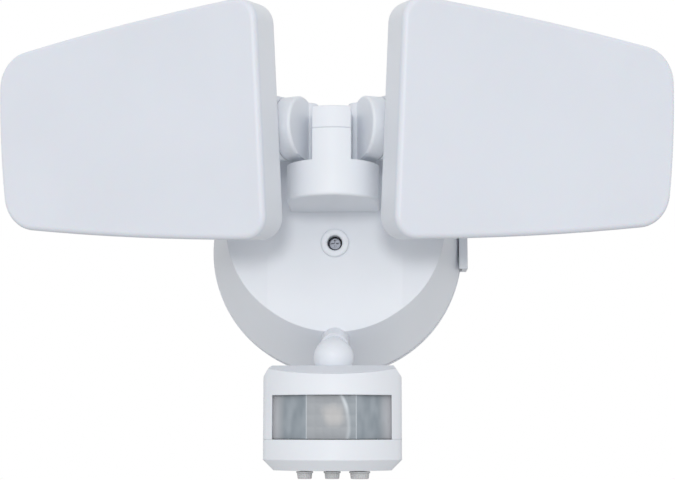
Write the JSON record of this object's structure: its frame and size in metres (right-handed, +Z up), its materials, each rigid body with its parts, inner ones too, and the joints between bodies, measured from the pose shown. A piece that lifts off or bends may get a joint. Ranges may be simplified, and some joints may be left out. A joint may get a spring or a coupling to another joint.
{
  "type": "motion sensor security light",
  "caption": "Wall-mounted security light: wide lamp heads on swivel-and-tilt knuckles above a round canopy, with a ball-jointed motion sensor hanging below it.",
  "frame": {"origin": "middle of the crossbar's screw slots, on the wall plane", "axes": "+X to the right for a person facing the wall, +Z up, -Y out of the wall"},
  "size_m": [0.3158, 0.1016, 0.2088],
  "materials": {
    "white_shell": "satin, lightly textured white plastic",
    "diffuser": "opal white, smooth",
    "sensor_window": "milky, semi-gloss",
    "dark_plastic": "matte",
    "knob": "matte, light grey",
    "seal": "soft black",
    "white_foam": "soft white",
    "zinc_steel": "zinc plated",
    "bright_screw": "nickel plated",
    "green_steel": "green ground screw",
    "spreader": "plain sheet",
    "board": "green laminate",
    "white_board": "white solder mask",
    "chip": "yellow phosphor",
    "parts_black": "black components",
    "metal_can": "plated can"
  },
  "bodies": {
    "canopy": {"canopy_cover": "white_shell", "wall_gasket": "white_foam", "back_plate": "white_shell", "crossbar": "zinc_steel", "ground_screw": "green_steel", "centre_screw": "bright_screw", "screw_bezel": "white_shell", "driver_board": "board", "driver_components": "parts_black", "driver_screws": "zinc_steel", "hub_body": "white_shell", "hub_cap": "white_shell", "hub_screws": "zinc_steel", "ball_stem": "white_shell", "stem_nut": "zinc_steel", "right_yaw_screw": "bright_screw", "left_yaw_screw": "bright_screw", "right_yaw_washer": "zinc_steel", "left_yaw_washer": "zinc_steel"},
    "right_bracket": {"right_arm": "white_shell", "right_tilt_bolt": "zinc_steel", "right_tilt_washer": "zinc_steel"},
    "left_bracket": {"left_arm": "white_shell", "left_tilt_bolt": "zinc_steel", "left_tilt_washer": "zinc_steel"},
    "right_lamp": {"right_head_housing": "white_shell", "right_lens": "diffuser", "right_lens_gasket": "seal", "right_heat_spreader": "spreader", "right_led_board": "white_board", "right_leds": "chip", "right_board_screws": "zinc_steel"},
    "left_lamp": {"left_head_housing": "white_shell", "left_lens": "diffuser", "left_lens_gasket": "seal", "left_heat_spreader": "spreader", "left_led_board": "white_board", "left_leds": "chip", "left_board_screws": "zinc_steel"},
    "swivel": {"swivel_bolt": "zinc_steel", "swivel_nut": "zinc_steel"},
    "sensor": {"sensor_upper_shell": "white_shell", "sensor_lower_shell": "white_shell", "sensor_screws": "zinc_steel", "sensor_seal": "seal", "fresnel_lens": "sensor_window", "lens_shroud": "dark_plastic", "sensor_board": "board", "motion_detector": "metal_can", "light_cell": "chip", "control_board": "board", "dial_pots": "parts_black"},
    "time_dial": {"time_knob": "knob"},
    "range_dial": {"range_knob": "knob"},
    "light_level_dial": {"light_level_knob": "knob"}
  },
  "joints": [
    {"name": "right_yaw", "type": "hinge", "parent": "canopy", "child": "right_bracket", "pos_m": [0.01292, -0.05579, 0.0489], "axis": [0, 0, 1], "range_deg": [-15, 9]},
    {"name": "right_tilt", "type": "hinge", "parent": "right_bracket", "child": "right_lamp", "pos_m": [0.013, -0.066, 0.0489], "axis": [-0.9171, -0.3987, 0], "range_deg": [-10, 40]},
    {"name": "left_yaw", "type": "hinge", "parent": "canopy", "child": "left_bracket", "pos_m": [-0.01292, -0.05579, 0.0489], "axis": [0, 0, -1], "range_deg": [-15, 9]},
    {"name": "left_tilt", "type": "hinge", "parent": "left_bracket", "child": "left_lamp", "pos_m": [-0.013, -0.066, 0.0489], "axis": [-0.9171, 0.3987, 0], "range_deg": [-10, 40]},
    {"name": "sensor_tilt", "type": "hinge", "parent": "canopy", "child": "swivel", "pos_m": [0, -0.052, -0.054], "axis": [-1, 0, 0], "range_deg": [-10, 25]},
    {"name": "sensor_pan", "type": "hinge", "parent": "swivel", "child": "sensor", "pos_m": [0, -0.052, -0.054], "axis": [0, 0, 1], "range_deg": [-60, 60]},
    {"name": "time_turn", "type": "hinge", "parent": "sensor", "child": "time_dial", "pos_m": [-0.012, -0.068, -0.1055], "axis": [0, 0, 1], "range_deg": [-135, 135]},
    {"name": "range_turn", "type": "hinge", "parent": "sensor", "child": "range_dial", "pos_m": [0, -0.068, -0.1055], "axis": [0, 0, 1], "range_deg": [-135, 135]},
    {"name": "light_level_turn", "type": "hinge", "parent": "sensor", "child": "light_level_dial", "pos_m": [0.012, -0.068, -0.1055], "axis": [0, 0, 1], "range_deg": [-135, 135]}
  ]
}
